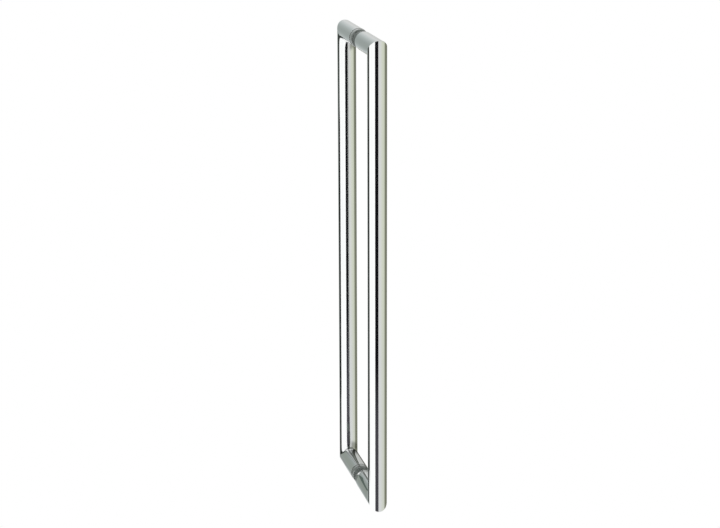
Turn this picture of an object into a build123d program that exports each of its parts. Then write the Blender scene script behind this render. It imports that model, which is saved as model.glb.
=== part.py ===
from build123d import *
import math
import os

# Back-to-back pair of tubular pull handles for a door leaf.
# Each handle is a round grip tube and two legs, cut and joined at 45 degrees. A turned plug closes
# each leg on the door side. Bolts through the door draw the two handles together on soft gaskets.
#
# Millimetres. The origin is in the middle of the door leaf, half way between the two fixings.
# Z is up, Y runs through the door from the front handle (-Y) to the rear handle (+Y).

# Overall sizes
hole_spacing = 600.0
door_thickness = 10.0
grip_projection = 80.0

# Tubes
tube_od = 25.0
tube_wall = 1.5

# Gaskets between the door and the plugs
gasket_thickness = 2.0
gasket_step = 0.75

# Plugs in the legs' ends
flange_step = 0.5
flange_length = 9.0
seam_width = 0.8
seam_depth = 0.7
plug_length = 22.0
plug_clearance = 0.05
plug_lead = 1.0
edge_break = 0.3

# Through bolt, with a grooved round head that the front plug slides over
bolt_diameter = 8.0
bolt_engagement = 14.0
bolt_lead = 0.8
thread_clearance = 0.05
tap_run_out = 5.0
drill_half_angle = 59.0
head_length = 12.0
head_clearance = 0.1
head_end_gap = 0.5
head_chamfer = 0.8
groove_depth = 1.5
hex_key = 6.0
hex_depth = 5.0

# Washer under the bolt's head, let into the front plug's mouth
washer_thickness = 1.2
washer_land = 2.0
washer_clearance = 0.2
rim_width = 1.8
washer_bore_clearance = 0.25

# Sleeve on the bolt, inside the door's hole
sleeve_wall = 1.8
sleeve_bore_clearance = 0.2
sleeve_end_gap = 0.2
gasket_bore_clearance = 1.3

# Grub screw through the front plug's flange into the head's groove
grub_diameter = 5.0
grub_clearance = 0.05
grub_inset = 4.0
grub_angle = 130.0
grub_sink = 0.1
grub_tip_radius = 0.2
grub_tip_gap = 0.2
grub_key = 2.5
grub_key_depth = 2.0
grub_hole_chamfer = 0.3

# Worked out from the sizes above
tube_radius = tube_od / 2
bore_radius = tube_radius - tube_wall
flange_radius = tube_radius - flange_step
plug_radius = bore_radius - plug_clearance
gasket_radius = tube_radius - gasket_step
bolt_radius = bolt_diameter / 2
recess_radius = flange_radius - rim_width
washer_radius = recess_radius - washer_clearance
head_radius = washer_radius - washer_land
socket_radius = head_radius + head_clearance
groove_radius = head_radius - groove_depth
sleeve_bore_radius = bolt_radius + sleeve_bore_clearance
sleeve_radius = sleeve_bore_radius + sleeve_wall
gasket_bore_radius = sleeve_radius + gasket_bore_clearance
washer_bore_radius = bolt_radius + washer_bore_clearance
grub_radius = grub_diameter / 2 - grub_clearance

# Distances from the middle of the door, along a leg
door_face = door_thickness / 2
flange_face = door_face + gasket_thickness
leg_start = flange_face + flange_length
grip_offset = door_face + grip_projection
washer_top = flange_face + washer_thickness
head_end = washer_top + head_length
grub_offset = flange_face + grub_inset

# How far a cutting shape or an uncut tube runs past the faces that bound it
cut_overshoot = 1.0
corner_reach = 2 * tube_od

FRONT, REAR = -1, 1
UPPER, LOWER = 1, -1
SIDES = {"front": FRONT, "rear": REAR}
LEVELS = {"upper": UPPER, "lower": LOWER}

os.makedirs("parts", exist_ok=True)


def leg_plane(side, level, distance):
    """Plane across a leg at a distance from the door's middle, facing outward along the leg."""
    centre = (0, side * distance, level * hole_spacing / 2)
    return Plane(origin=centre, x_dir=(1, 0, 0), z_dir=(0, side, 0))


def mouth_plane(side, level, distance):
    """The same plane facing back to the door, so that holes sink outward into a plug."""
    centre = (0, side * distance, level * hole_spacing / 2)
    return Plane(origin=centre, x_dir=(1, 0, 0), z_dir=(0, -side, 0))


def section_plane(side, level):
    """Plane along a leg's axis: local X runs outward from the door's middle, local Y is the radius."""
    centre = (0, 0, level * hole_spacing / 2)
    return Plane(origin=centre, x_dir=(0, side, 0), z_dir=(1, 0, 0))


def leg_axis(side, level):
    return Axis((0, 0, level * hole_spacing / 2), (0, side, 0))


def mitre_plane(side, level):
    """The 45 degree cut at a corner. The grip lies on its positive side and the leg on the other."""
    corner = (0, side * grip_offset, level * hole_spacing / 2)
    return Plane(origin=corner, x_dir=(1, 0, 0), z_dir=(0, side, -level))


def grub_plane(level):
    """Plane at the leg's axis, facing out along the grub screw, on the handle's inner side."""
    slant = math.radians(grub_angle)
    centre = (0, FRONT * grub_offset, level * hole_spacing / 2)
    outward = (math.cos(slant), 0, -level * math.sin(slant))
    return Plane(origin=centre, x_dir=(0, 1, 0), z_dir=outward)


def save(part, name):
    part.label = name
    export_step(part, f"parts/{name}.step")


def make_grip_tube(side):
    half_length = hole_spacing / 2 + corner_reach
    with BuildPart() as grip_tube:
        with BuildSketch(Plane(origin=(0, side * grip_offset, -half_length))):
            Circle(tube_radius)
            Circle(bore_radius, mode=Mode.SUBTRACT)
        extrude(amount=2 * half_length)
        for level in LEVELS.values():
            split(bisect_by=mitre_plane(side, level), keep=Keep.TOP)
    return grip_tube.part


def make_leg_tube(side, level):
    with BuildPart() as leg_tube:
        with BuildSketch(leg_plane(side, level, leg_start)):
            Circle(tube_radius)
            Circle(bore_radius, mode=Mode.SUBTRACT)
        extrude(amount=grip_offset + corner_reach - leg_start)
        split(bisect_by=mitre_plane(side, level), keep=Keep.BOTTOM)
        door_end = leg_tube.edges().filter_by(GeomType.CIRCLE)
        chamfer(door_end, length=edge_break)
    return leg_tube.part


def make_plug_blank(side, level):
    """Flange, shadow groove beside the tube's end, and the body that fills the tube's bore."""
    with BuildPart() as blank:
        with BuildSketch(leg_plane(side, level, flange_face)):
            Circle(flange_radius)
        extrude(amount=flange_length - seam_width)
        chamfer(blank.edges().filter_by(GeomType.CIRCLE), length=edge_break)
        with BuildSketch(leg_plane(side, level, leg_start - seam_width)):
            Circle(flange_radius - seam_depth)
        extrude(amount=seam_width)
        with BuildSketch(leg_plane(side, level, leg_start)):
            Circle(plug_radius)
        extrude(amount=plug_length)
        inner_end = blank.faces().sort_by(leg_axis(side, level))[-1]
        chamfer(inner_end.edges(), length=plug_lead)
    return blank.part


def make_tapped_plug(side, level):
    """Plug that the bolt screws into: a blind hole with a drill point."""
    tap_radius = bolt_radius + thread_clearance
    tap_depth = bolt_engagement + tap_run_out
    drill_tip = tap_radius / math.tan(math.radians(drill_half_angle))
    with BuildPart() as tapped_plug:
        add(make_plug_blank(side, level))
        with BuildSketch(section_plane(side, level)):
            with BuildLine():
                Polyline(
                    (flange_face - cut_overshoot, 0),
                    (flange_face - cut_overshoot, tap_radius + edge_break + cut_overshoot),
                    (flange_face, tap_radius + edge_break),
                    (flange_face + edge_break, tap_radius),
                    (flange_face + tap_depth, tap_radius),
                    (flange_face + tap_depth + drill_tip, 0),
                    close=True,
                )
            make_face()
        revolve(axis=leg_axis(side, level), mode=Mode.SUBTRACT)
    return tapped_plug.part


def make_socket_plug(side, level):
    """Plug that slides over the bolt's head: washer recess, socket and the grub screw's hole."""
    socket_depth = head_end + head_end_gap - flange_face
    recess_depth = washer_thickness + washer_clearance
    hole_radius = grub_diameter / 2
    with BuildPart() as socket_plug:
        add(make_plug_blank(side, level))
        with Locations(mouth_plane(side, level, flange_face)):
            CounterBoreHole(
                radius=socket_radius,
                counter_bore_radius=recess_radius,
                counter_bore_depth=recess_depth,
                depth=socket_depth,
            )
        with BuildSketch(grub_plane(level)):
            Circle(hole_radius)
        extrude(amount=flange_radius + cut_overshoot, mode=Mode.SUBTRACT)
        with BuildSketch(grub_plane(level).offset(flange_radius - grub_hole_chamfer)):
            Circle(hole_radius)
        with BuildSketch(grub_plane(level).offset(flange_radius + grub_hole_chamfer)):
            Circle(hole_radius + 2 * grub_hole_chamfer)
        loft(mode=Mode.SUBTRACT)
    return socket_plug.part


def make_gasket(side, level):
    with BuildPart() as gasket:
        with BuildSketch(leg_plane(side, level, door_face)):
            Circle(gasket_radius)
            Circle(gasket_bore_radius, mode=Mode.SUBTRACT)
        extrude(amount=gasket_thickness)
        rims = gasket.edges().filter_by(GeomType.CIRCLE).group_by(SortBy.RADIUS)[-1]
        fillet(rims, radius=edge_break)
    return gasket.part


def make_sleeve(level):
    length = 2 * (flange_face - sleeve_end_gap)
    with BuildPart() as sleeve:
        with BuildSketch(leg_plane(FRONT, level, -length / 2)):
            Circle(sleeve_radius)
            Circle(sleeve_bore_radius, mode=Mode.SUBTRACT)
        extrude(amount=length)
    return sleeve.part


def make_washer(level):
    with BuildPart() as washer:
        with BuildSketch(leg_plane(FRONT, level, flange_face)):
            Circle(washer_radius)
            Circle(washer_bore_radius, mode=Mode.SUBTRACT)
        extrude(amount=washer_thickness)
        rims = washer.edges().filter_by(GeomType.CIRCLE).group_by(SortBy.RADIUS)[-1]
        chamfer(rims, length=edge_break)
    return washer.part


def make_bolt(level):
    """Shank to the rear plug, round head with a V groove for the grub screw and a hexagon socket."""
    tip = -(flange_face + bolt_engagement)
    with BuildPart() as bolt:
        with BuildSketch(section_plane(FRONT, level)):
            with BuildLine():
                Polyline(
                    (tip, 0),
                    (tip, bolt_radius - bolt_lead),
                    (tip + bolt_lead, bolt_radius),
                    (washer_top, bolt_radius),
                    (washer_top, head_radius - edge_break),
                    (washer_top + edge_break, head_radius),
                    (grub_offset - groove_depth, head_radius),
                    (grub_offset, groove_radius),
                    (grub_offset + groove_depth, head_radius),
                    (head_end - head_chamfer, head_radius),
                    (head_end, head_radius - head_chamfer),
                    (head_end, 0),
                    close=True,
                )
            make_face()
        revolve(axis=leg_axis(FRONT, level))
        with BuildSketch(leg_plane(FRONT, level, head_end)):
            RegularPolygon(radius=hex_key / 2, side_count=6, major_radius=False)
        extrude(amount=-hex_depth, mode=Mode.SUBTRACT)
    return bolt.part


def make_grub_screw(level):
    """Headless screw with a cone point that rests in the bolt head's groove."""
    outer_end = flange_radius - grub_sink
    tip_end = groove_radius + grub_tip_gap + grub_tip_radius
    cone_start = tip_end + grub_radius - grub_tip_radius
    screw_plane = grub_plane(level)
    with BuildPart() as grub_screw:
        with BuildSketch(screw_plane.offset(cone_start)):
            Circle(grub_radius)
        extrude(amount=outer_end - cone_start)
        with BuildSketch(screw_plane.offset(cone_start)):
            Circle(grub_radius)
        with BuildSketch(screw_plane.offset(tip_end)):
            Circle(grub_tip_radius)
        loft()
        with BuildSketch(screw_plane.offset(outer_end)):
            RegularPolygon(radius=grub_key / 2, side_count=6, major_radius=False)
        extrude(amount=-grub_key_depth, mode=Mode.SUBTRACT)
    return grub_screw.part


for side_name, side in SIDES.items():
    save(make_grip_tube(side), f"{side_name}_grip_tube")
    for level_name, level in LEVELS.items():
        save(make_leg_tube(side, level), f"{side_name}_{level_name}_leg_tube")
        save(make_gasket(side, level), f"{side_name}_{level_name}_gasket")
        make_plug = make_socket_plug if side == FRONT else make_tapped_plug
        save(make_plug(side, level), f"{side_name}_{level_name}_plug")

for level_name, level in LEVELS.items():
    save(make_sleeve(level), f"{level_name}_sleeve")
    save(make_washer(level), f"{level_name}_washer")
    save(make_bolt(level), f"{level_name}_bolt")
    save(make_grub_screw(level), f"{level_name}_grub_screw")
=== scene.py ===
import bmesh
import bpy
import math
from mathutils import Matrix, Vector


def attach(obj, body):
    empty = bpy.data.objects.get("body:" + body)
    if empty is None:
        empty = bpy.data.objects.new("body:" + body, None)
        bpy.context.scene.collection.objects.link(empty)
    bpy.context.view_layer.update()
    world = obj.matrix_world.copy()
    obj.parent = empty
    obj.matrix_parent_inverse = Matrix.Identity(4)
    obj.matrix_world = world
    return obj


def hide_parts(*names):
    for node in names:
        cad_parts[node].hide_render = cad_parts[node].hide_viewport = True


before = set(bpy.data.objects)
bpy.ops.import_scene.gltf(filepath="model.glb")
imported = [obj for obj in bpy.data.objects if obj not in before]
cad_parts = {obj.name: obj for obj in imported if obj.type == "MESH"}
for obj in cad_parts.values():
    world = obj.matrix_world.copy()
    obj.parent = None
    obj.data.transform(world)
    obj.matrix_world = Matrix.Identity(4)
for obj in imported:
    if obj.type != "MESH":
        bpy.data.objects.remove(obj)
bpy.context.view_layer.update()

# The looks of a back-to-back pair of mirror polished tubular door pulls.
# The frame is the record's: +Z up along the grips, +Y through the door from the front handle
# to the rear one, +X across both.  All lengths are metres.

MM = 0.001

# Sizes that repeat the source's named values
TUBE_RADIUS = 12.5 * MM
BORE_RADIUS = 11.0 * MM
HALF_SPACING = 300.0 * MM
GRIP_OFFSET = 85.0 * MM
LEG_START = 16.0 * MM
GRUB_OFFSET = 11.0 * MM
GRUB_ANGLE = math.radians(130.0)
GRUB_RADIUS = 2.45 * MM
GRUB_END = 11.9 * MM
GRUB_KEY = 2.5 * MM
GRUB_KEY_DEPTH = 2.0 * MM
GRUB_TIP = 6.9 * MM
GRUB_TIP_RADIUS = 0.2 * MM

FRONT, REAR = -1, 1
UPPER, LOWER = 1, -1
SIDES = {"front": FRONT, "rear": REAR}
LEVELS = {"upper": UPPER, "lower": LOWER}
X_AXIS, Y_AXIS, Z_AXIS = Vector((1, 0, 0)), Vector((0, 1, 0)), Vector((0, 0, 1))

# Camera, fitted to the outlines in the photograph, which is 720 pixels wide
CAMERA_AZIMUTH = math.radians(-13.2086)
CAMERA_ELEVATION = math.radians(15.3347)
CAMERA_ROLL = math.radians(-0.1735)
CAMERA_DISTANCE = 2.48017
CAMERA_TARGET = Vector((-0.002692, 0.0, 0.001413))
CAMERA_LENS = 93.594
CAMERA_CLIP = (0.05, 50.0)
SENSOR_WIDTH = 36.0


# Small helpers for materials

# Where most of a noise's values lie
NOISE_EDGES = (0.3, 0.7)


class Nodes:
    """Adds nodes to one tree, so that a material reads as a short list of steps."""

    def __init__(self, tree):
        self.tree = tree

    def add(self, kind, **settings):
        node = self.tree.nodes.new(kind)
        for name, value in settings.items():
            setattr(node, name, value)
        return node

    def feed(self, node, socket, value):
        target = node.inputs[socket]
        if isinstance(value, bpy.types.NodeSocket):
            self.tree.links.new(value, target)
        else:
            target.default_value = value

    def math(self, operation, first, second=0.0, third=0.0):
        node = self.add("ShaderNodeMath", operation=operation)
        for index, value in enumerate((first, second, third)):
            self.feed(node, index, value)
        return node.outputs[0]

    def dot(self, vector, direction):
        node = self.add("ShaderNodeVectorMath", operation="DOT_PRODUCT")
        self.feed(node, 0, vector)
        self.feed(node, 1, tuple(direction))
        return node.outputs["Value"]

    def place(self):
        """Position on the object in the part's own frame."""
        return self.add("ShaderNodeTexCoord").outputs["Object"]

    def studio_place(self):
        """Position in the studio, for the surfaces that stand round the object."""
        return self.add("ShaderNodeNewGeometry").outputs["Position"]

    def seen(self):
        """1 for what the camera, metal or glass sees, and 0 for the light that the surface gives."""
        path = self.add("ShaderNodeLightPath").outputs
        mirrored = self.math("MAXIMUM", path["Is Glossy Ray"], path["Is Transmission Ray"])
        return self.math("MAXIMUM", path["Is Camera Ray"], mirrored)

    def split(self, vector):
        node = self.add("ShaderNodeSeparateXYZ")
        self.feed(node, 0, vector)
        return node.outputs

    def join(self, x, y, z):
        node = self.add("ShaderNodeCombineXYZ")
        for index, value in enumerate((x, y, z)):
            self.feed(node, index, value)
        return node.outputs[0]

    def stretch(self, vector, scale):
        node = self.add("ShaderNodeVectorMath", operation="MULTIPLY")
        self.feed(node, 0, vector)
        self.feed(node, 1, tuple(scale))
        return node.outputs[0]

    def noise(self, vector, scale, detail, roughness=0.5):
        node = self.add("ShaderNodeTexNoise")
        self.feed(node, "Vector", vector)
        self.feed(node, "Scale", scale)
        self.feed(node, "Detail", detail)
        self.feed(node, "Roughness", roughness)
        return node.outputs["Fac"]

    def span(self, value, low, high, to_low=0.0, to_high=1.0, smooth=False):
        """The value brought from the range low to high to the range to_low to to_high."""
        node = self.add("ShaderNodeMapRange", interpolation_type="SMOOTHSTEP" if smooth else "LINEAR")
        for socket, number in (("Value", value), ("From Min", low), ("From Max", high),
                               ("To Min", to_low), ("To Max", to_high)):
            self.feed(node, socket, number)
        return node.outputs[0]

    def mix(self, factor, first, second):
        node = self.add("ShaderNodeMix", data_type="RGBA")
        self.feed(node, 0, factor)
        self.feed(node, 6, first)
        self.feed(node, 7, second)
        return node.outputs[2]

    def blend(self, value, low, high, tones, smooth=False):
        """Colour that goes from the first tone to the second while the value goes from low to high."""
        return self.mix(self.span(value, low, high, smooth=smooth), *tones)

    def bump(self, height, distance, strength, before=None):
        node = self.add("ShaderNodeBump")
        self.feed(node, "Height", height)
        self.feed(node, "Distance", distance)
        self.feed(node, "Strength", strength)
        if before is not None:
            self.feed(node, "Normal", before)
        return node.outputs[0]


def grey(value):
    return (value, value, value, 1.0)


def colour(red, green, blue):
    return (red, green, blue, 1.0)


def new_material(name, metallic):
    material = bpy.data.materials.new(name)
    material.use_nodes = True
    nodes = Nodes(material.node_tree)
    shader = material.node_tree.nodes["Principled BSDF"]
    shader.inputs["Metallic"].default_value = metallic
    return material, nodes, shader


def feed_shader(nodes, shader, tone, rough, normal):
    for socket, value in (("Base Color", tone), ("Roughness", rough), ("Normal", normal)):
        nodes.feed(shader, socket, value)


# Painted shade beside the inner crease of a corner, which darkens the tube's colour there.  Its values are:
# strength at the right, strength on the thin line near the middle, where it sets in along X, and where it
# sets in and fades from the mitre.
GRIP_CREASE_SHADE = (0.5, 0.0, (-0.5 * MM, 2.5 * MM), (1.0 * MM, 3.5 * MM), (8.0 * MM, 15.0 * MM))
LEG_CREASE_SHADE = (0.92, 0.75, (2.4 * MM, 4.0 * MM), (-2.0 * MM, -1.0 * MM), (7.0 * MM, 26.0 * MM))
CREASE_SHADE_DEPTH = (0.0, 9.0 * MM)
CREASE_SHADE_LINE = -3.2 * MM
CREASE_SHADE_LINE_WIDTH = (0.3 * MM, 1.7 * MM)


def painted_crease_shade(nodes, strength, line, side, rise, reach):
    """How much painted shade darkens a point beside the inner crease of its corner: 0 to 1."""
    x, y, z = nodes.split(nodes.place())
    from_grip = nodes.math("SUBTRACT", nodes.math("ABSOLUTE", y), GRIP_OFFSET)
    from_leg = nodes.math("SUBTRACT", nodes.math("ABSOLUTE", z), HALF_SPACING)
    from_mitre = nodes.math("ABSOLUTE", nodes.math("SUBTRACT", from_grip, from_leg))
    band = nodes.math("MULTIPLY", nodes.span(from_mitre, *rise, smooth=True),
                      nodes.span(from_mitre, *reach, 1.0, 0.0, smooth=True))
    inward = nodes.math("MULTIPLY", nodes.math("MAXIMUM", from_grip, from_leg), -1.0)
    from_line = nodes.math("ABSOLUTE", nodes.math("SUBTRACT", x, CREASE_SHADE_LINE))
    across = nodes.math("MAXIMUM", nodes.span(x, *side, 0.0, strength, smooth=True),
                        nodes.span(from_line, *CREASE_SHADE_LINE_WIDTH, line, 0.0, smooth=True))
    corner = nodes.math("MULTIPLY", nodes.span(inward, *CREASE_SHADE_DEPTH, smooth=True), across)
    return nodes.math("MULTIPLY", band, corner)


# Mirror polish.  A grain is how often its pattern changes in a metre, across the tube and along it,
# and the haze of a tube is its least roughness.
POLISH_TONES = (colour(0.735, 0.752, 0.75), colour(0.765, 0.778, 0.775))
HAZE_GRAIN, BUFFING_GRAIN, WAVE_GRAIN = (40.0, 14.0), (120.0, 5200.0), (30.0, 9.0)
BUFFING_HEIGHT, WAVE_HEIGHT = 0.0006 * MM, 0.04 * MM
GRIP_HAZE = {"front": 0.03, "rear": 0.075}
LEG_HAZE = 0.035
HAZE_RISE = 0.025
HAZE_EDGES = (0.35, 0.75)
BUFFING_ROUGHNESS = 0.02


def tube_grain(nodes, along, grain, detail):
    across = Vector((1, 1, 1)) - along
    scale = across * grain[0] + along * grain[1]
    return nodes.noise(nodes.stretch(nodes.place(), scale), 1.0, detail)


def polished_steel(name, along, least_haze, tint):
    """Mirror polished tube: faint buffing lines round the tube, haze and slow waviness.

    along is its axis, and tint the values of the painted shade at its inner corners."""
    material, nodes, shader = new_material(name, 1.0)
    haze = tube_grain(nodes, along, HAZE_GRAIN, detail=4.0)
    lines = tube_grain(nodes, along, BUFFING_GRAIN, detail=2.0)
    wave = tube_grain(nodes, along, WAVE_GRAIN, detail=1.0)
    tone = nodes.blend(haze, *NOISE_EDGES, POLISH_TONES)
    # Painted shade: the colour darkens towards black beside the inner creases.
    tone = nodes.mix(painted_crease_shade(nodes, *tint), tone, grey(0.0))
    worn = nodes.span(haze, *HAZE_EDGES, least_haze, least_haze + HAZE_RISE)
    rough = nodes.math("MULTIPLY_ADD", lines, BUFFING_ROUGHNESS, worn)
    waves = nodes.bump(wave, WAVE_HEIGHT, strength=0.5)
    feed_shader(nodes, shader, tone, rough, nodes.bump(lines, BUFFING_HEIGHT, strength=0.6, before=waves))
    return material


# Turned steels: dark and light tone, roughness, how often the grooves come in a metre, and their depth
PLUG_STEEL = ((colour(0.56, 0.575, 0.57), colour(0.64, 0.655, 0.65)), 0.22, 5200.0, 0.002 * MM)
# A darker copy of the plug steel, painted shade on the front upper plug
SHADED_PLUG_STEEL = ((colour(0.135, 0.145, 0.135), colour(0.17, 0.185, 0.175)), 0.25, 4200.0, 0.004 * MM)
# The cut faces' dark tones are painted shade in the seam between a leg and its plug, and their darker copy
# paints more shade at the front upper leg's mouth.
CUT_STEEL = ((colour(0.24, 0.24, 0.23), colour(0.36, 0.36, 0.34)), 0.42, 2600.0, 0.01 * MM)
SHADED_CUT_STEEL = ((colour(0.14, 0.14, 0.135), colour(0.2, 0.2, 0.19)), 0.42, 2600.0, 0.01 * MM)
FIXING_STEEL = ((colour(0.5, 0.5, 0.48), grey(0.64)), 0.3, 3600.0, 0.01 * MM)
GROOVE_ROUGHNESS = 0.04
STAIN_GRAIN = 180.0
STAIN_EDGES = (0.45, 0.8)
STAIN_SHARE = 0.35
STAIN_ROUGHNESS = 0.12

# Painted shade beside the gaskets, which darkens the plugs' colour there: where it thins out, from the
# door's middle, and where it sets in along X
GASKET_SHADE_NEAR = (7.2 * MM, 9.0 * MM)
GASKET_SHADE_WIDE = (8.6 * MM, 12.0 * MM)
GASKET_SHADE_EVERYWHERE = (-2.0, -1.0)
GASKET_SHADE_OFF_LEFT = (-11.0 * MM, -6.0 * MM)
GASKET_SHADE_STRENGTH = 0.75
GASKET_SHADE_TONE = colour(0.15, 0.155, 0.145)


def turned_rings(nodes, pitch):
    """Fine grooves that a lathe leaves: along the leg on round faces and by radius on end faces."""
    x, y, z = nodes.split(nodes.place())
    across = nodes.math("SUBTRACT", nodes.math("ABSOLUTE", z), HALF_SPACING)
    squares = nodes.math("ADD", nodes.math("MULTIPLY", x, x), nodes.math("MULTIPLY", across, across))
    radius = nodes.math("SQRT", squares)
    rings = nodes.join(nodes.math("MULTIPLY", y, pitch), nodes.math("MULTIPLY", radius, pitch), z)
    return nodes.noise(rings, 1.0, detail=3.0, roughness=0.6)


def turned_steel(name, tones, roughness, pitch, depth, gasket_shade=GASKET_SHADE_NEAR, gasket_shade_side=GASKET_SHADE_EVERYWHERE):
    """Turned steel with a few stains, darkened by painted shade beside the gasket."""
    material, nodes, shader = new_material(name, 1.0)
    x, y = nodes.split(nodes.place())[:2]
    rings = turned_rings(nodes, pitch)
    stain = nodes.noise(nodes.place(), STAIN_GRAIN, detail=4.0)
    from_door = nodes.math("ABSOLUTE", y)
    gasket_shade_share = nodes.math("MULTIPLY", nodes.span(from_door, *gasket_shade, GASKET_SHADE_STRENGTH, 0.0, smooth=True),
                       nodes.span(x, *gasket_shade_side, smooth=True))
    tone = nodes.blend(rings, *NOISE_EDGES, tones)
    tone = nodes.mix(nodes.span(stain, *STAIN_EDGES, 0.0, STAIN_SHARE), tone, tones[0])
    # Painted shade: the colour darkens towards a dark grey beside the gasket.
    tone = nodes.mix(gasket_shade_share, tone, GASKET_SHADE_TONE)
    rough = nodes.span(rings, *NOISE_EDGES, roughness - GROOVE_ROUGHNESS, roughness + GROOVE_ROUGHNESS)
    rough = nodes.math("MULTIPLY_ADD", stain, STAIN_ROUGHNESS, rough)
    feed_shader(nodes, shader, tone, rough, nodes.bump(rings, depth, strength=0.6))
    return material


RUBBER_TONES = (colour(0.078, 0.09, 0.083), colour(0.178, 0.198, 0.186))
RUBBER_GRAIN, BLOOM_GRAIN = 4200.0, 520.0
BLOOM_EDGES = (0.38, 0.62)
RUBBER_ROUGHNESS = (0.6, 0.78)
RUBBER_GRAIN_HEIGHT = 0.05 * MM


def black_rubber():
    """Matt moulded rubber, greyed by a bloom in patches, with a fine grain."""
    material, nodes, shader = new_material("black_rubber_look", 0.0)
    grain = nodes.noise(nodes.place(), RUBBER_GRAIN, detail=2.0)
    bloom = nodes.noise(nodes.place(), BLOOM_GRAIN, detail=4.0, roughness=0.6)
    tone = nodes.blend(bloom, *BLOOM_EDGES, RUBBER_TONES)
    rough = nodes.span(grain, *NOISE_EDGES, *RUBBER_ROUGHNESS)
    feed_shader(nodes, shader, tone, rough, nodes.bump(grain, RUBBER_GRAIN_HEIGHT, strength=0.7))
    return material


NYLON_TONES = (colour(0.03, 0.03, 0.032), colour(0.05, 0.05, 0.053))
NYLON_FLOW = (900.0, 120.0, 900.0)
FLOW_EDGES = (0.35, 0.7)
NYLON_ROUGHNESS = (0.42, 0.56)
NYLON_FLOW_HEIGHT = 0.03 * MM


def black_nylon():
    """Plain moulded nylon: a slight sheen, with faint flow lines along the sleeve."""
    material, nodes, shader = new_material("black_nylon_look", 0.0)
    flow = nodes.noise(nodes.stretch(nodes.place(), NYLON_FLOW), 1.0, detail=3.0)
    tone = nodes.blend(flow, *FLOW_EDGES, NYLON_TONES)
    rough = nodes.span(flow, *NOISE_EDGES, *NYLON_ROUGHNESS)
    feed_shader(nodes, shader, tone, rough, nodes.bump(flow, NYLON_FLOW_HEIGHT, strength=0.5))
    return material


# Grub screw: its far rim, painted darker so that the painted glint sits on its door side, lies between these
# distances from the door's middle
SCREW_SHADED_RIM = (11.1 * MM, 12.1 * MM)
SCREW_SHADED_RIM_TONE = grey(0.3)
SCREW_GLINT_TONES = (grey(0.93), grey(0.98))
SCREW_MARKS = (2600.0, 700.0, 2600.0)
SCREW_ROUGHNESS = (0.3, 0.42)
SCREW_MARK_HEIGHT = 0.004 * MM


def bright_screw_steel():
    """Grub screw with fine marks: its near-white non-metallic colour is a painted glint, and its far rim is
    painted darker.
    """
    material, nodes, shader = new_material("glint_painted_screw_look", 0.0)
    marks = nodes.noise(nodes.stretch(nodes.place(), SCREW_MARKS), 1.0, detail=3.0)
    from_door = nodes.math("ABSOLUTE", nodes.split(nodes.place())[1])
    # Painted glint: near-white colour; painted shade greys the far rim.
    tone = nodes.blend(marks, *NOISE_EDGES, SCREW_GLINT_TONES)
    tone = nodes.mix(nodes.span(from_door, *SCREW_SHADED_RIM, smooth=True), tone, SCREW_SHADED_RIM_TONE)
    rough = nodes.span(marks, *NOISE_EDGES, *SCREW_ROUGHNESS)
    feed_shader(nodes, shader, tone, rough, nodes.bump(marks, SCREW_MARK_HEIGHT, strength=0.6))
    return material


# Small helpers for meshes

def turns(count):
    """The angles of a full turn in even steps."""
    return [2 * math.pi * index / count for index in range(count)]


def spoke(outward, angle):
    """Way out from a tube's axis, at an angle from the outward side towards +X."""
    return X_AXIS * math.sin(angle) + outward * math.cos(angle)


def band_faces(lower, upper, size):
    """Faces between two closed rows of points, from the rows' numbers and their size."""
    pairs = [(index, (index + 1) % size) for index in range(size)]
    return [(lower * size + index, lower * size + following, upper * size + following, upper * size + index)
            for index, following in pairs]


def new_object(name, mesh, *materials):
    for material in materials:
        mesh.materials.append(material)
    made = bpy.data.objects.new(name, mesh)
    bpy.context.scene.collection.objects.link(made)
    return made


def dress(piece, node):
    """The piece stands for a CAD node and moves with the one body."""
    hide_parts(node)
    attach(piece, "root")


# The tubes are built again with even segments, because a mirror shows every facet.
# Their edges are rounded a little, and the surface leans over beside the inner creases.
TUBE_SEGMENTS = 144
ROUNDING_STEPS = 4
RIDGE_ROUNDING = 0.3 * MM
LEAST_SETBACK = 0.03 * MM
MOUTH_ROUNDING = 0.22 * MM
HOLDING_GAP = 1.2 * MM
WELD_LEAN = 0.62
WELD_REACH = 16.0 * MM
WELD_STEPS = 14
WELD_SPREAD = 1.5
GRIP_WELD_DEPTH = 5.5 * MM
LEG_WELD_DEPTH = 4.3 * MM
LEAST_TURN = 1e-6


def radial(point, centre, axis):
    offset = point - centre
    return (offset - axis * offset.dot(axis)).normalized()


def tipped(own, other, angle):
    """Own normal turned by an angle towards the other tube's."""
    across = other - own * own.dot(other)
    if across.length < LEAST_TURN:
        return own.copy()
    return own * math.cos(angle) + across.normalized() * math.sin(angle)


def weld_fade(distance, depth):
    """Share of the weld's lean that is left at a distance from the crease."""
    return math.exp(-distance / depth) * max(0.0, 1 - distance / WELD_REACH)


def ways_back(own, other, outward, along, angle):
    """The ways from the mitre's ridge back along the two tubes' walls."""
    tangent = (X_AXIS * math.cos(angle) - (outward + along) * math.sin(angle)).normalized()
    back, far = own.cross(tangent).normalized(), other.cross(tangent).normalized()
    if back.dot(along) > 0:
        back.negate()
    if far.dot(outward) > 0:
        far.negate()
    return back, far


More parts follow.
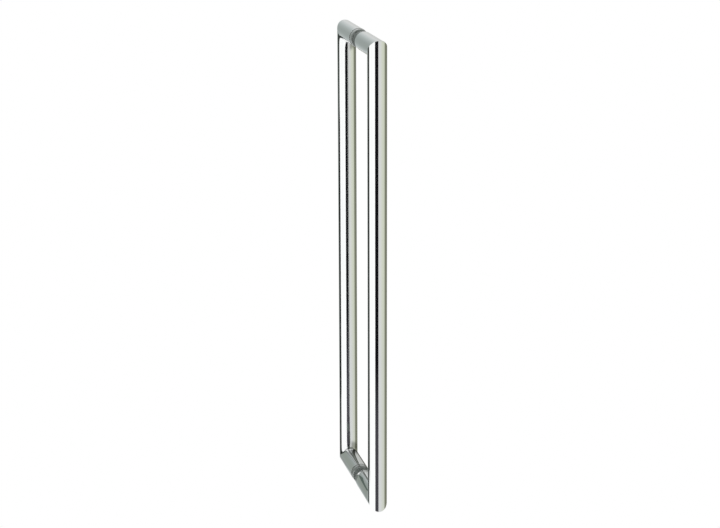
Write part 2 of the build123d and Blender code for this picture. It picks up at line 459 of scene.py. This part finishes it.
def mitre_rings(corner, outward, along, weld_depth):
    """Rings of (points, normals) from the mitre's rounded ridge to a plain circle inside the tube.

    along points out of the tube past the corner and outward is the other tube's direction past it.
    On the inner side of the corner the normals lean over gently, as on a polished-in weld."""
    shares = [0.5 * step / ROUNDING_STEPS for step in range(ROUNDING_STEPS, -1, -1)]
    distances = [WELD_REACH * (step / WELD_STEPS) ** WELD_SPREAD for step in range(1, WELD_STEPS + 1)]
    rings = [([], []) for _ in shares + distances]
    for angle in turns(TUBE_SEGMENTS):
        own, other = spoke(outward, angle), spoke(along, angle)
        ridge = corner + (own + along * math.cos(angle)) * TUBE_RADIUS
        back, far = ways_back(own, other, outward, along, angle)
        half = 0.5 * math.acos(max(-1.0, min(1.0, own.dot(other))))
        lean = WELD_LEAN * half if math.cos(angle) < 0 else 0.0
        setback = max(RIDGE_ROUNDING * math.tan(half), LEAST_SETBACK)
        start, end = ridge + back * setback, ridge + far * setback
        for (points, normals), share in zip(rings, shares):
            point = start * (1 - share) ** 2 + ridge * (2 * share * (1 - share)) + end * share ** 2
            points.append(point)
            first, second = radial(point, corner, along), radial(point, corner, outward)
            normals.append(tipped(first, second, lean + 2 * (half - lean) * share))
        for (points, normals), distance in zip(rings[len(shares):], distances):
            points.append(ridge - along * (setback + distance))
            normals.append(tipped(own, other, lean * weld_fade(distance, weld_depth)))
    return rings


def mouth_rings(centre, outward, along):
    """Rings of (points, normals) from a leg's rounded mouth edge to a plain circle inside the tube.

    along points out of the mouth."""
    profile = []
    for step in range(ROUNDING_STEPS + 1):
        turn = 0.5 * math.pi * (1 - step / ROUNDING_STEPS)
        profile.append((TUBE_RADIUS - MOUTH_ROUNDING * (1 - math.cos(turn)),
                        MOUTH_ROUNDING * (1 - math.sin(turn)), turn))
    profile.append((TUBE_RADIUS, MOUTH_ROUNDING + HOLDING_GAP, 0.0))
    rings = []
    for radius, depth, turn in profile:
        spokes = [spoke(outward, angle) for angle in turns(TUBE_SEGMENTS)]
        rings.append(([centre + own * radius - along * depth for own in spokes],
                      [(own * math.cos(turn) + along * math.sin(turn)).normalized() for own in spokes]))
    return rings


def bore_ring(centre, outward, along, mitred):
    """The bore's edge at one end of a tube, with the bore's normals."""
    points, normals = [], []
    for angle in turns(TUBE_SEGMENTS):
        own = spoke(outward, angle)
        reach = BORE_RADIUS * math.cos(angle) if mitred else 0.0
        points.append(centre + own * BORE_RADIUS + along * reach)
        normals.append(-own)
    return points, normals


def tube_piece(name, first_end, last_end, first_bore, last_bore, material, cut):
    """A closed tube from two ends' rings, with exact normals on its walls.

    cut is the look of its last end's face."""
    outer = first_end + last_end[::-1]
    wall = outer + [last_bore, first_bore]
    last_face, first_face = len(outer) - 1, len(wall) - 1
    faces, rings = [], []
    for ring in range(len(wall)):
        faces += band_faces(ring, (ring + 1) % len(wall), TUBE_SEGMENTS)
        rings += [ring] * TUBE_SEGMENTS
    mesh = bpy.data.meshes.new(name)
    mesh.from_pydata([point for points, _ in wall for point in points], [], faces)
    mesh.update()
    normals = [normal for _, ring_normals in wall for normal in ring_normals]
    middle = mesh.polygons[TUBE_SEGMENTS * (len(first_end) - 1)]
    if middle.normal.dot(normals[middle.vertices[0]]) < 0:
        mesh.flip_normals()
    mesh.polygons.foreach_set("use_smooth", [True] * len(faces))
    own = []
    for polygon, ring in zip(mesh.polygons, rings):
        for vertex in polygon.vertices:
            own.append(polygon.normal.copy() if ring in (first_face, last_face) else normals[vertex])
    mesh.normals_split_custom_set(own)
    piece = new_object(name, mesh, material, cut)
    mesh.polygons.foreach_set("material_index", [1 if ring == last_face else 0 for ring in rings])
    return piece


def grip_piece(side_name, side, material, cut):
    """Vertical grip tube, mitred at both ends."""
    outward = Y_AXIS * side
    ends, bores = [], []
    for level in LEVELS.values():
        corner = Vector((0, side * GRIP_OFFSET, level * HALF_SPACING))
        along = Z_AXIS * level
        ends.append(mitre_rings(corner, outward, along, GRIP_WELD_DEPTH))
        bores.append(bore_ring(corner, outward, along, True))
    node = f"{side_name}_grip_tube"
    dress(tube_piece(f"{node}_polished", *ends, *bores, material, cut), node)


def leg_piece(side_name, side, level_name, level, material, cut):
    """Short leg tube, mitred at the grip and rounded at the door end."""
    outward, along = Z_AXIS * level, Y_AXIS * side
    corner = Vector((0, side * GRIP_OFFSET, level * HALF_SPACING))
    mouth = Vector((0, side * LEG_START, level * HALF_SPACING))
    ends = (mitre_rings(corner, outward, along, LEG_WELD_DEPTH), mouth_rings(mouth, outward, -along))
    bores = (bore_ring(corner, outward, along, True), bore_ring(mouth, outward, -along, False))
    node = f"{side_name}_{level_name}_leg_tube"
    dress(tube_piece(f"{node}_polished", *ends, *bores, material, cut), node)


# Grub screw with a rounded rim and a hexagon socket
GRUB_SEGMENTS = 96
GRUB_RIM = 0.7 * MM
GRUB_RIM_STEPS = 6
GRUB_SHARP_EDGE = math.radians(28)
SOCKET_CHAMFER = 0.18 * MM


def hexagon_radius(angle, across_flats):
    sixth = math.pi / 3
    turned = (angle % sixth) - sixth / 2
    return across_flats / 2 / math.cos(turned)


def grub_profile():
    """Rings from the cone point to the socket's floor: (radius, or None for the hexagon, height, growth)."""
    rings = [(GRUB_TIP_RADIUS, GRUB_TIP, 0.0)]
    rings.append((GRUB_RADIUS, GRUB_TIP + GRUB_RADIUS - GRUB_TIP_RADIUS, 0.0))
    for step in range(GRUB_RIM_STEPS + 1):
        turn = 0.5 * math.pi * step / GRUB_RIM_STEPS
        radius = GRUB_RADIUS - GRUB_RIM * (1 - math.cos(turn))
        rings.append((radius, GRUB_END - GRUB_RIM * (1 - math.sin(turn)), 0.0))
    rings.append((None, GRUB_END, SOCKET_CHAMFER))
    rings.append((None, GRUB_END - SOCKET_CHAMFER, 0.0))
    rings.append((None, GRUB_END - GRUB_KEY_DEPTH, 0.0))
    return rings


def grub_mesh(name, origin, out):
    """Closed mesh of a grub screw that points out from the leg's axis."""
    sideways = out.cross(Y_AXIS).normalized()
    profile = grub_profile()
    points, faces = [], []
    for radius, height, growth in profile:
        for angle in turns(GRUB_SEGMENTS):
            reach = hexagon_radius(angle, GRUB_KEY) + growth if radius is None else radius
            way = Y_AXIS * math.cos(angle) + sideways * math.sin(angle)
            points.append(origin + out * height + way * reach)
    for ring in range(len(profile) - 1):
        faces += band_faces(ring, ring + 1, GRUB_SEGMENTS)
    faces.append(tuple(range(GRUB_SEGMENTS)))
    faces.append(tuple(range(len(points) - GRUB_SEGMENTS, len(points))))
    mesh = bpy.data.meshes.new(name)
    mesh.from_pydata(points, [], faces)
    turned_out = bmesh.new()
    turned_out.from_mesh(mesh)
    bmesh.ops.recalc_face_normals(turned_out, faces=turned_out.faces)
    turned_out.to_mesh(mesh)
    turned_out.free()
    return mesh


def grub_piece(level_name, level, material):
    out = Vector((math.cos(GRUB_ANGLE), 0, -level * math.sin(GRUB_ANGLE)))
    origin = Vector((0, FRONT * GRUB_OFFSET, level * HALF_SPACING))
    node = f"{level_name}_grub_screw"
    mesh = grub_mesh(f"{node}_bright", origin, out)
    mesh.polygons.foreach_set("use_smooth", [True] * len(mesh.polygons))
    mesh.set_sharp_from_angle(angle=GRUB_SHARP_EDGE)
    dress(new_object(f"{node}_bright", mesh, material), node)


# Studio: what the polished metal sees.  All of it shows in reflections only.

STUDIO_RADIUS = 4.0
SPHERE_COLUMNS = 96
HALF_TURN = 180.0
RING_LOW, RING_HIGH, RING_ROWS = math.radians(-42), math.radians(34), 24
CEILING_TOP, CEILING_ROWS = math.radians(89.5), 12
RIGHT_OF_VIEW = Vector((math.cos(CAMERA_AZIMUTH), math.sin(CAMERA_AZIMUTH), 0))
TO_CAMERA = Vector((math.sin(CAMERA_AZIMUTH), -math.cos(CAMERA_AZIMUTH), 0))

# Stops of the ring of soft boxes and flags at three heights: degrees from the camera's side,
# positive to its right, and the colour of the light.  The fades are heights where one goes over to the next.
UPPER_STOPS = [
    (-180, (0.45, 0.50, 0.47)), (-150, (0.36, 0.40, 0.38)), (-111, (0.12, 0.13, 0.12)),
    (-104, (0.62, 0.62, 0.62)), (-30, (0.60, 0.60, 0.60)), (-22, (0.13, 0.15, 0.13)),
    (8, (0.13, 0.15, 0.13)), (16, (0.3, 0.31, 0.29)), (60, (0.3, 0.31, 0.28)), (90, (0.2, 0.21, 0.18)),
    (104, (0.05, 0.05, 0.04)), (150, (0.06, 0.06, 0.05)), (180, (0.45, 0.50, 0.47)),
]
LEFT_STOPS = [
    (-180, (0.36, 0.40, 0.38)), (-156, (0.3, 0.33, 0.31)), (-151, (0.035, 0.04, 0.035)),
    (-106, (0.035, 0.04, 0.035)), (-100, (1.30, 1.30, 1.30)),
]
MIDDLE_STOPS = LEFT_STOPS + [
    (-66, (1.30, 1.30, 1.30)), (-62, (1.18, 1.18, 1.18)), (-57, (1.30, 1.30, 1.30)),
    (-24, (1.32, 1.32, 1.32)), (-18, (0.87, 0.87, 0.89)), (38, (0.87, 0.875, 0.85)),
    (62, (0.82, 0.85, 0.72)), (89, (0.75, 0.78, 0.64)), (103, (0.25, 0.26, 0.19)),
    (150, (0.21, 0.22, 0.17)), (166, (0.4, 0.41, 0.39)), (180, (0.36, 0.40, 0.38)),
]
LOWER_STOPS = LEFT_STOPS + [
    (-24, (1.32, 1.32, 1.32)), (-18, (0.86, 0.86, 0.88)), (38, (0.86, 0.865, 0.86)),
    (62, (0.82, 0.84, 0.76)), (89, (0.75, 0.77, 0.67)), (103, (0.25, 0.26, 0.19)),
    (172, (0.21, 0.22, 0.17)), (180, (0.36, 0.40, 0.38)),
]
UPPER_FADE = (-0.25, 0.15)
LOWER_FADE = (-1.5, -1.1)

# Stops of the backdrop behind, which the legs reflect: how far to the right of their axis, and colour.
# These places, its edge and the slant's edge are shares of the studio's radius.
BACKDROP_REACH = 0.5
BACKDROP_EDGE = (0.84, 0.88)
BACKDROP_STOPS = [
    (-0.43, (0.345, 0.38, 0.345)), (-0.25, (0.39, 0.43, 0.415)), (-0.1, (0.52, 0.565, 0.555)),
    (0.0, (0.63, 0.67, 0.665)), (0.16, (0.77, 0.78, 0.775)), (0.33, (0.62, 0.63, 0.61)),
]

# Dark flag that cuts the backdrop's lower right corner off along a slant
SLANT = X_AXIS - Z_AXIS * 0.5
SLANT_EDGE = (0.4375, 0.4875)
SLANT_TONE = colour(0.16, 0.16, 0.14)

# The ceiling is bright above the left and the back, and dims towards the camera and its right.
# The fade's places are shares of the studio's radius.
CEILING_WAY = TO_CAMERA * 0.8 + RIGHT_OF_VIEW * 0.6
CEILING_FADE = (-0.1, 0.45)
CEILING_TONES = (grey(1.3), grey(0.5))


def ramp_of(nodes, value, stops, low, high):
    """Colour ramp over stops that are written from low to high."""
    node = nodes.add("ShaderNodeValToRGB")
    elements = node.color_ramp.elements
    elements.remove(elements[-1])
    for index, (position, shade) in enumerate(stops):
        place = (position - low) / (high - low)
        element = elements[0] if index == 0 else elements.new(place)
        element.position = place
        element.color = (*shade, 1.0)
    nodes.feed(node, 0, nodes.span(value, low, high))
    return node.outputs[0]


def glow_material(name):
    material = bpy.data.materials.new(name)
    material.use_nodes = True
    material.node_tree.nodes.clear()
    nodes = Nodes(material.node_tree)
    output = nodes.add("ShaderNodeOutputMaterial")
    glow = nodes.add("ShaderNodeEmission")
    nodes.feed(output, "Surface", glow.outputs[0])
    return material, nodes, glow, output


def plain_glow(name, tone):
    material, nodes, glow, _ = glow_material(name)
    nodes.feed(glow, "Color", tone)
    return material


def fading_glow(name, way, fade, tones):
    """Glow that goes from one tone to the other between two places along a way."""
    material, nodes, glow, _ = glow_material(name)
    along = nodes.dot(nodes.studio_place(), way)
    nodes.feed(glow, "Color", nodes.blend(along, *fade, tones, smooth=True))
    return material


def ring_material():
    """Soft box at the left, dark flags behind at both sides, pale walls at the right and a backdrop."""
    material, nodes, glow, _ = glow_material("studio_ring_look")
    place = nodes.studio_place()
    radians = nodes.math("ARCTAN2", nodes.dot(place, RIGHT_OF_VIEW), nodes.dot(place, TO_CAMERA))
    angle = nodes.math("DEGREES", radians)
    height = nodes.split(place)[2]
    lower, middle, upper = [ramp_of(nodes, angle, stops, -HALF_TURN, HALF_TURN)
                            for stops in (LOWER_STOPS, MIDDLE_STOPS, UPPER_STOPS)]
    walls = nodes.blend(height, *LOWER_FADE, (lower, middle), smooth=True)
    walls = nodes.blend(height, *UPPER_FADE, (walls, upper), smooth=True)
    rightness = nodes.dot(place, X_AXIS / STUDIO_RADIUS)
    backdrop = ramp_of(nodes, rightness, BACKDROP_STOPS, -BACKDROP_REACH, BACKDROP_REACH)
    down_right = nodes.dot(place, SLANT / STUDIO_RADIUS)
    backdrop = nodes.blend(down_right, *SLANT_EDGE, (backdrop, SLANT_TONE), smooth=True)
    behind = nodes.dot(place, Y_AXIS / STUDIO_RADIUS)
    nodes.feed(glow, "Color", nodes.blend(behind, *BACKDROP_EDGE, (walls, backdrop), smooth=True))
    return material


def reflected_only(name, vertices, faces, material):
    """Stage surface that only reflections show."""
    mesh = bpy.data.meshes.new(name)
    mesh.from_pydata(vertices, [], faces)
    surface = new_object(name, mesh, material)
    surface.visible_camera = False
    surface.visible_diffuse = False
    surface.visible_shadow = False
    surface.visible_volume_scatter = False


def studio_surface(name, low, high, rows, material):
    """Part of a big sphere round the object between two elevations."""
    vertices, faces = [], []
    for row in range(rows + 1):
        elevation = low + (high - low) * row / rows
        for angle in turns(SPHERE_COLUMNS):
            vertices.append((STUDIO_RADIUS * math.cos(elevation) * math.cos(angle),
                             STUDIO_RADIUS * math.cos(elevation) * math.sin(angle),
                             STUDIO_RADIUS * math.sin(elevation)))
    for row in range(rows):
        faces += band_faces(row, row + 1, SPHERE_COLUMNS)
    reflected_only(name, vertices, faces, material)


# Upright curved cards near the object.  Edges are angles in degrees from -Y, positive towards +X, seen
# from the card's own centre on the Y axis.
CARD_STEPS = 12

# The camera and what stands round it, as a dark card that the grips reflect
FLAG_CENTRE = -GRIP_OFFSET
FLAG_DISTANCE = 1.25
FLAG_EDGES = (-38.5, 0.5)
FLAG_HEIGHTS = (-1.1, 0.14)
FLAG_TONES = (colour(0.075, 0.073, 0.085), colour(0.006, 0.006, 0.008))
FLAG_FADE = (-0.68, -0.5)

# Bright card beside the front grip's foot, which narrows the dark line on its left side there
FOOT_CENTRE = -GRIP_OFFSET
FOOT_DISTANCE = 0.12
FOOT_EDGES = (-126.0, -106.0)
FOOT_HEIGHTS = (-0.45, -0.30)
FOOT_TONES = (grey(1.3), grey(0.55))
FOOT_FADE = (-0.33, -0.29)

# Dark card at the left behind, whose front edge widens the dark line on the rear grip's left side
LEFT_CENTRE = 0.0
LEFT_DISTANCE = 0.88
LEFT_EDGES = (-150.0, -115.4)
LEFT_HEIGHTS = (-0.5, 0.03)
LEFT_TONE = colour(0.02, 0.022, 0.02)

# Thin dark bar beside the lower joint, which the front leg there reflects as a streak: place along Y
# and corners in X and Z
BAR_PLACE = 2.0 * MM
BAR_CORNERS = ((-45.0 * MM, -288.0 * MM), (-16.0 * MM, -288.0 * MM),
               (-16.0 * MM, -277.0 * MM), (-45.0 * MM, -277.0 * MM))
BAR_TONE = colour(0.13, 0.165, 0.145)

# Card behind, low at the left, which only the rear lower leg's left side reflects.  It brightens along X.
LOW_CARD_PLACE = 0.5
LOW_CARD_CORNERS = ((-0.17, -0.475), (0.12, -0.56), (0.12, -0.40), (-0.17, -0.40))
LOW_CARD_FADE = (-0.12, 0.05)
LOW_CARD_TONES = (colour(0.335, 0.36, 0.35), colour(0.56, 0.58, 0.57))


def curved_card(name, centre, distance, edges, heights, material):
    """Upright card round (0, centre), between two angles and two heights."""
    vertices, faces = [], []
    for step in range(CARD_STEPS + 1):
        angle = math.radians(edges[0] + (edges[1] - edges[0]) * step / CARD_STEPS)
        for height in heights:
            vertices.append((math.sin(angle) * distance, centre - math.cos(angle) * distance, height))
    for step in range(CARD_STEPS):
        faces.append((2 * step, 2 * step + 2, 2 * step + 3, 2 * step + 1))
    reflected_only(name, vertices, faces, material)


def flat_card(name, place, corners, material):
    """Card at one place along Y with its four corners in X and Z."""
    reflected_only(name, [(x, place, z) for x, z in corners], [(0, 1, 2, 3)], material)


def cards():
    curved_card("camera_flag", FLAG_CENTRE, FLAG_DISTANCE, FLAG_EDGES, FLAG_HEIGHTS,
                fading_glow("camera_flag_look", Z_AXIS, FLAG_FADE, FLAG_TONES))
    curved_card("foot_card", FOOT_CENTRE, FOOT_DISTANCE, FOOT_EDGES, FOOT_HEIGHTS,
                fading_glow("foot_card_look", Z_AXIS, FOOT_FADE, FOOT_TONES))
    curved_card("left_card", LEFT_CENTRE, LEFT_DISTANCE, LEFT_EDGES, LEFT_HEIGHTS,
                plain_glow("left_card_look", LEFT_TONE))
    flat_card("dark_bar", BAR_PLACE, BAR_CORNERS, plain_glow("dark_bar_look", BAR_TONE))
    flat_card("low_card", LOW_CARD_PLACE, LOW_CARD_CORNERS,
              fading_glow("low_card_look", X_AXIS, LOW_CARD_FADE, LOW_CARD_TONES))


def studio():
    studio_surface("studio_ring", RING_LOW, RING_HIGH, RING_ROWS, ring_material())
    ceiling = fading_glow("studio_ceiling_look", CEILING_WAY / STUDIO_RADIUS, CEILING_FADE, CEILING_TONES)
    studio_surface("studio_ceiling", RING_HIGH, CEILING_TOP, CEILING_ROWS, ceiling)
    cards()


# Floor, world and lamps

FLOOR_HEIGHT = -0.62
FLOOR_RADIUS = 0.50
FLOOR_SEGMENTS = 128
FLOOR_TONES = (grey(0.796), grey(0.804))
FLOOR_SPECKLE = 60.0
FLOOR_LIFT = 0.2
WORLD_LIGHT = 0.80

# Lamps: place, size and power
LAMPS = {
    "left_soft_box": ((-1.9, -1.3, 1.5), (1.6, 2.0), 36.0),
    "right_fill": ((2.0, -1.2, 1.2), (1.6, 1.6), 13.0),
}


def floor_material():
    """Plain pale matt floor, which glows a little where it is seen and so comes out nearly white."""
    material, nodes, glow, output = glow_material("pale_floor_look")
    matt = nodes.add("ShaderNodeBsdfDiffuse")
    speckle = nodes.noise(nodes.place(), FLOOR_SPECKLE, detail=4.0)
    nodes.feed(matt, "Color", nodes.mix(speckle, *FLOOR_TONES))
    nodes.feed(glow, "Strength", nodes.math("MULTIPLY", nodes.seen(), FLOOR_LIFT))
    both = nodes.add("ShaderNodeAddShader")
    nodes.feed(both, 0, matt.outputs[0])
    nodes.feed(both, 1, glow.outputs[0])
    nodes.feed(output, "Surface", both.outputs[0])
    return material


def floor():
    """Disc under the pull that keeps its soft shadow."""
    mesh = bpy.data.meshes.new("pale_floor")
    circle = bmesh.new()
    bmesh.ops.create_circle(circle, cap_ends=True, segments=FLOOR_SEGMENTS, radius=FLOOR_RADIUS)
    circle.to_mesh(mesh)
    circle.free()
    disc = new_object("pale_floor", mesh, floor_material())
    disc.location.z = FLOOR_HEIGHT


def white_world():
    """White where the camera, metal or glass sees it, and a plain soft level of light elsewhere."""
    world = bpy.data.worlds.new("white_studio")
    bpy.context.scene.world = world
    world.use_nodes = True
    nodes = Nodes(world.node_tree)
    background = world.node_tree.nodes["Background"]
    background.inputs["Color"].default_value = grey(1.0)
    nodes.feed(background, "Strength", nodes.span(nodes.seen(), 0.0, 1.0, WORLD_LIGHT, 1.0))


def soft_lamp(name, place, size, power):
    """Area lamp that faces the object and that neither the camera nor a reflection shows."""
    light = bpy.data.lights.new(name, "AREA")
    light.shape = "RECTANGLE"
    light.size, light.size_y = size
    light.energy = power
    lamp = new_object(name, light)
    lamp.location = place
    lamp.rotation_mode = "QUATERNION"
    lamp.rotation_quaternion = (-Vector(place)).to_track_quat("-Z", "Y")
    lamp.visible_glossy = False
    lamp.visible_camera = False


def lamps():
    for name, values in LAMPS.items():
        soft_lamp(name, *values)


def camera():
    a, e, r = CAMERA_AZIMUTH, CAMERA_ELEVATION, CAMERA_ROLL
    back = Vector((math.sin(a) * math.cos(e), -math.cos(a) * math.cos(e), math.sin(e)))
    rise = back.cross(RIGHT_OF_VIEW)
    right = RIGHT_OF_VIEW * math.cos(r) + rise * math.sin(r)
    up = rise * math.cos(r) - RIGHT_OF_VIEW * math.sin(r)
    data = bpy.data.cameras.new("photo_camera")
    data.lens = CAMERA_LENS
    data.sensor_width = SENSOR_WIDTH
    data.clip_start, data.clip_end = CAMERA_CLIP
    shot = new_object("photo_camera", data)
    turn = Matrix((right, up, back)).transposed().to_4x4()
    shot.matrix_world = Matrix.Translation(CAMERA_TARGET + back * CAMERA_DISTANCE) @ turn
    bpy.context.scene.camera = shot


# The part: looks on the CAD nodes, and the pieces that stand for some of them

def slot_looks():
    """The look of each of the record's material slots."""
    return {
        "polished_steel": polished_steel("polished_steel_legs", Y_AXIS, LEG_HAZE, LEG_CREASE_SHADE),
        "turned_steel": turned_steel("turned_steel_look", *PLUG_STEEL),
        "black_rubber": black_rubber(),
        "black_nylon": black_nylon(),
        "fixing_steel": turned_steel("fixing_steel_look", *FIXING_STEEL),
        "bright_screw_steel": bright_screw_steel(),
    }


def plug_looks():
    """Plugs that look otherwise than their slot: one is a darker copy, painted shade, and two have no
    painted shade beside the gasket on their left side.
    """
    shaded = turned_steel("shaded_turned_steel_look", *SHADED_PLUG_STEEL)
    half_gasket_shaded = turned_steel("half_gasket_shaded_turned_steel_look", *PLUG_STEEL, GASKET_SHADE_NEAR, GASKET_SHADE_OFF_LEFT)
    wide_gasket_shaded = turned_steel("wide_gasket_shaded_turned_steel_look", *PLUG_STEEL, GASKET_SHADE_WIDE, GASKET_SHADE_OFF_LEFT)
    return {"front_upper_plug": shaded, "front_lower_plug": half_gasket_shaded, "rear_lower_plug": wide_gasket_shaded}


def dress_solids(looks):
    own_looks = plug_looks()
    for name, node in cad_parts.items():
        for slot in node.material_slots:
            slot.material = own_looks.get(name, looks[slot.material.name])


def tubes(leg_look):
    """The six tubes.  The front upper leg's mouth has a darker copy of the cut face's look, painted shade.
    """
    cut = turned_steel("cut_steel_look", *CUT_STEEL)
    shaded_cut = turned_steel("shaded_cut_steel_look", *SHADED_CUT_STEEL)
    for side_name, side in SIDES.items():
        grip_look = polished_steel(f"polished_steel_{side_name}_grip", Z_AXIS,
                                   GRIP_HAZE[side_name], GRIP_CREASE_SHADE)
        grip_piece(side_name, side, grip_look, cut)
        for level_name, level in LEVELS.items():
            mouth = shaded_cut if (side, level) == (FRONT, UPPER) else cut
            leg_piece(side_name, side, level_name, level, leg_look, mouth)


def build():
    looks = slot_looks()
    dress_solids(looks)
    tubes(looks["polished_steel"])
    for level_name, level in LEVELS.items():
        grub_piece(level_name, level, looks["bright_screw_steel"])


build()
studio()
floor()
white_world()
lamps()
camera()
bpy.context.scene.view_settings.view_transform = "Standard"
